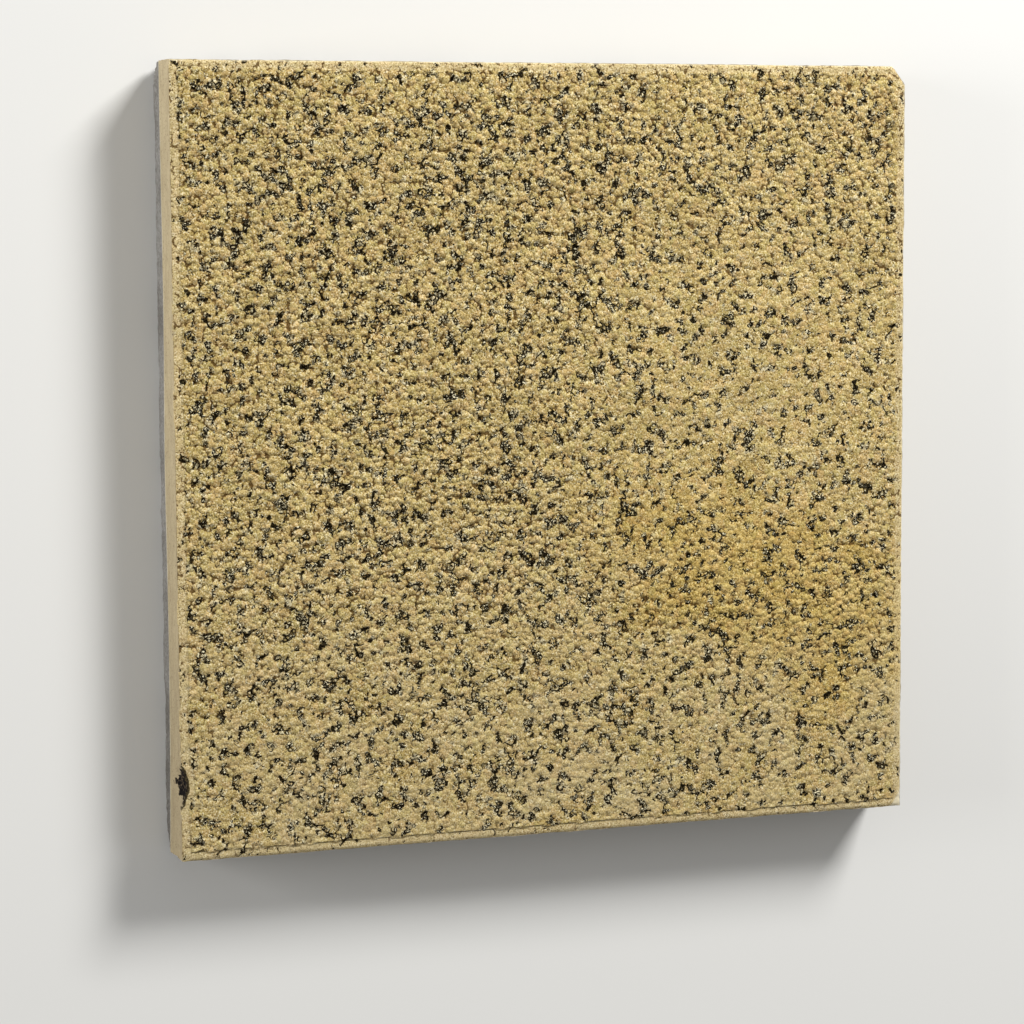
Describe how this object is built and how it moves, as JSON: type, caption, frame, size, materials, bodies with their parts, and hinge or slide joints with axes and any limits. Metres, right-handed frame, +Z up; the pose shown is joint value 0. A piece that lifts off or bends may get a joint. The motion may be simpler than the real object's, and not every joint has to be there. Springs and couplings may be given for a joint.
{
  "type": "terrazzo floor tile",
  "caption": "Square floor tile of washed terrazzo: a wear layer of straw-coloured and dark stone chips on a grey mortar backing, with worn edges.",
  "frame": {"origin": "centre of the bedding face, which lies on the floor", "axes": "+Z up through the thickness to the wear face, +X to the right edge with the broken corner, +Y to the upper edge"},
  "size_m": [0.4, 0.4, 0.036],
  "materials": {
    "face_mix": "washed stone chips, matt",
    "backing_mix": "rough pressed mortar, matt"
  },
  "bodies": {
    "root": {"face_layer": "face_mix", "backing_layer": "backing_mix"}
  },
  "joints": []
}
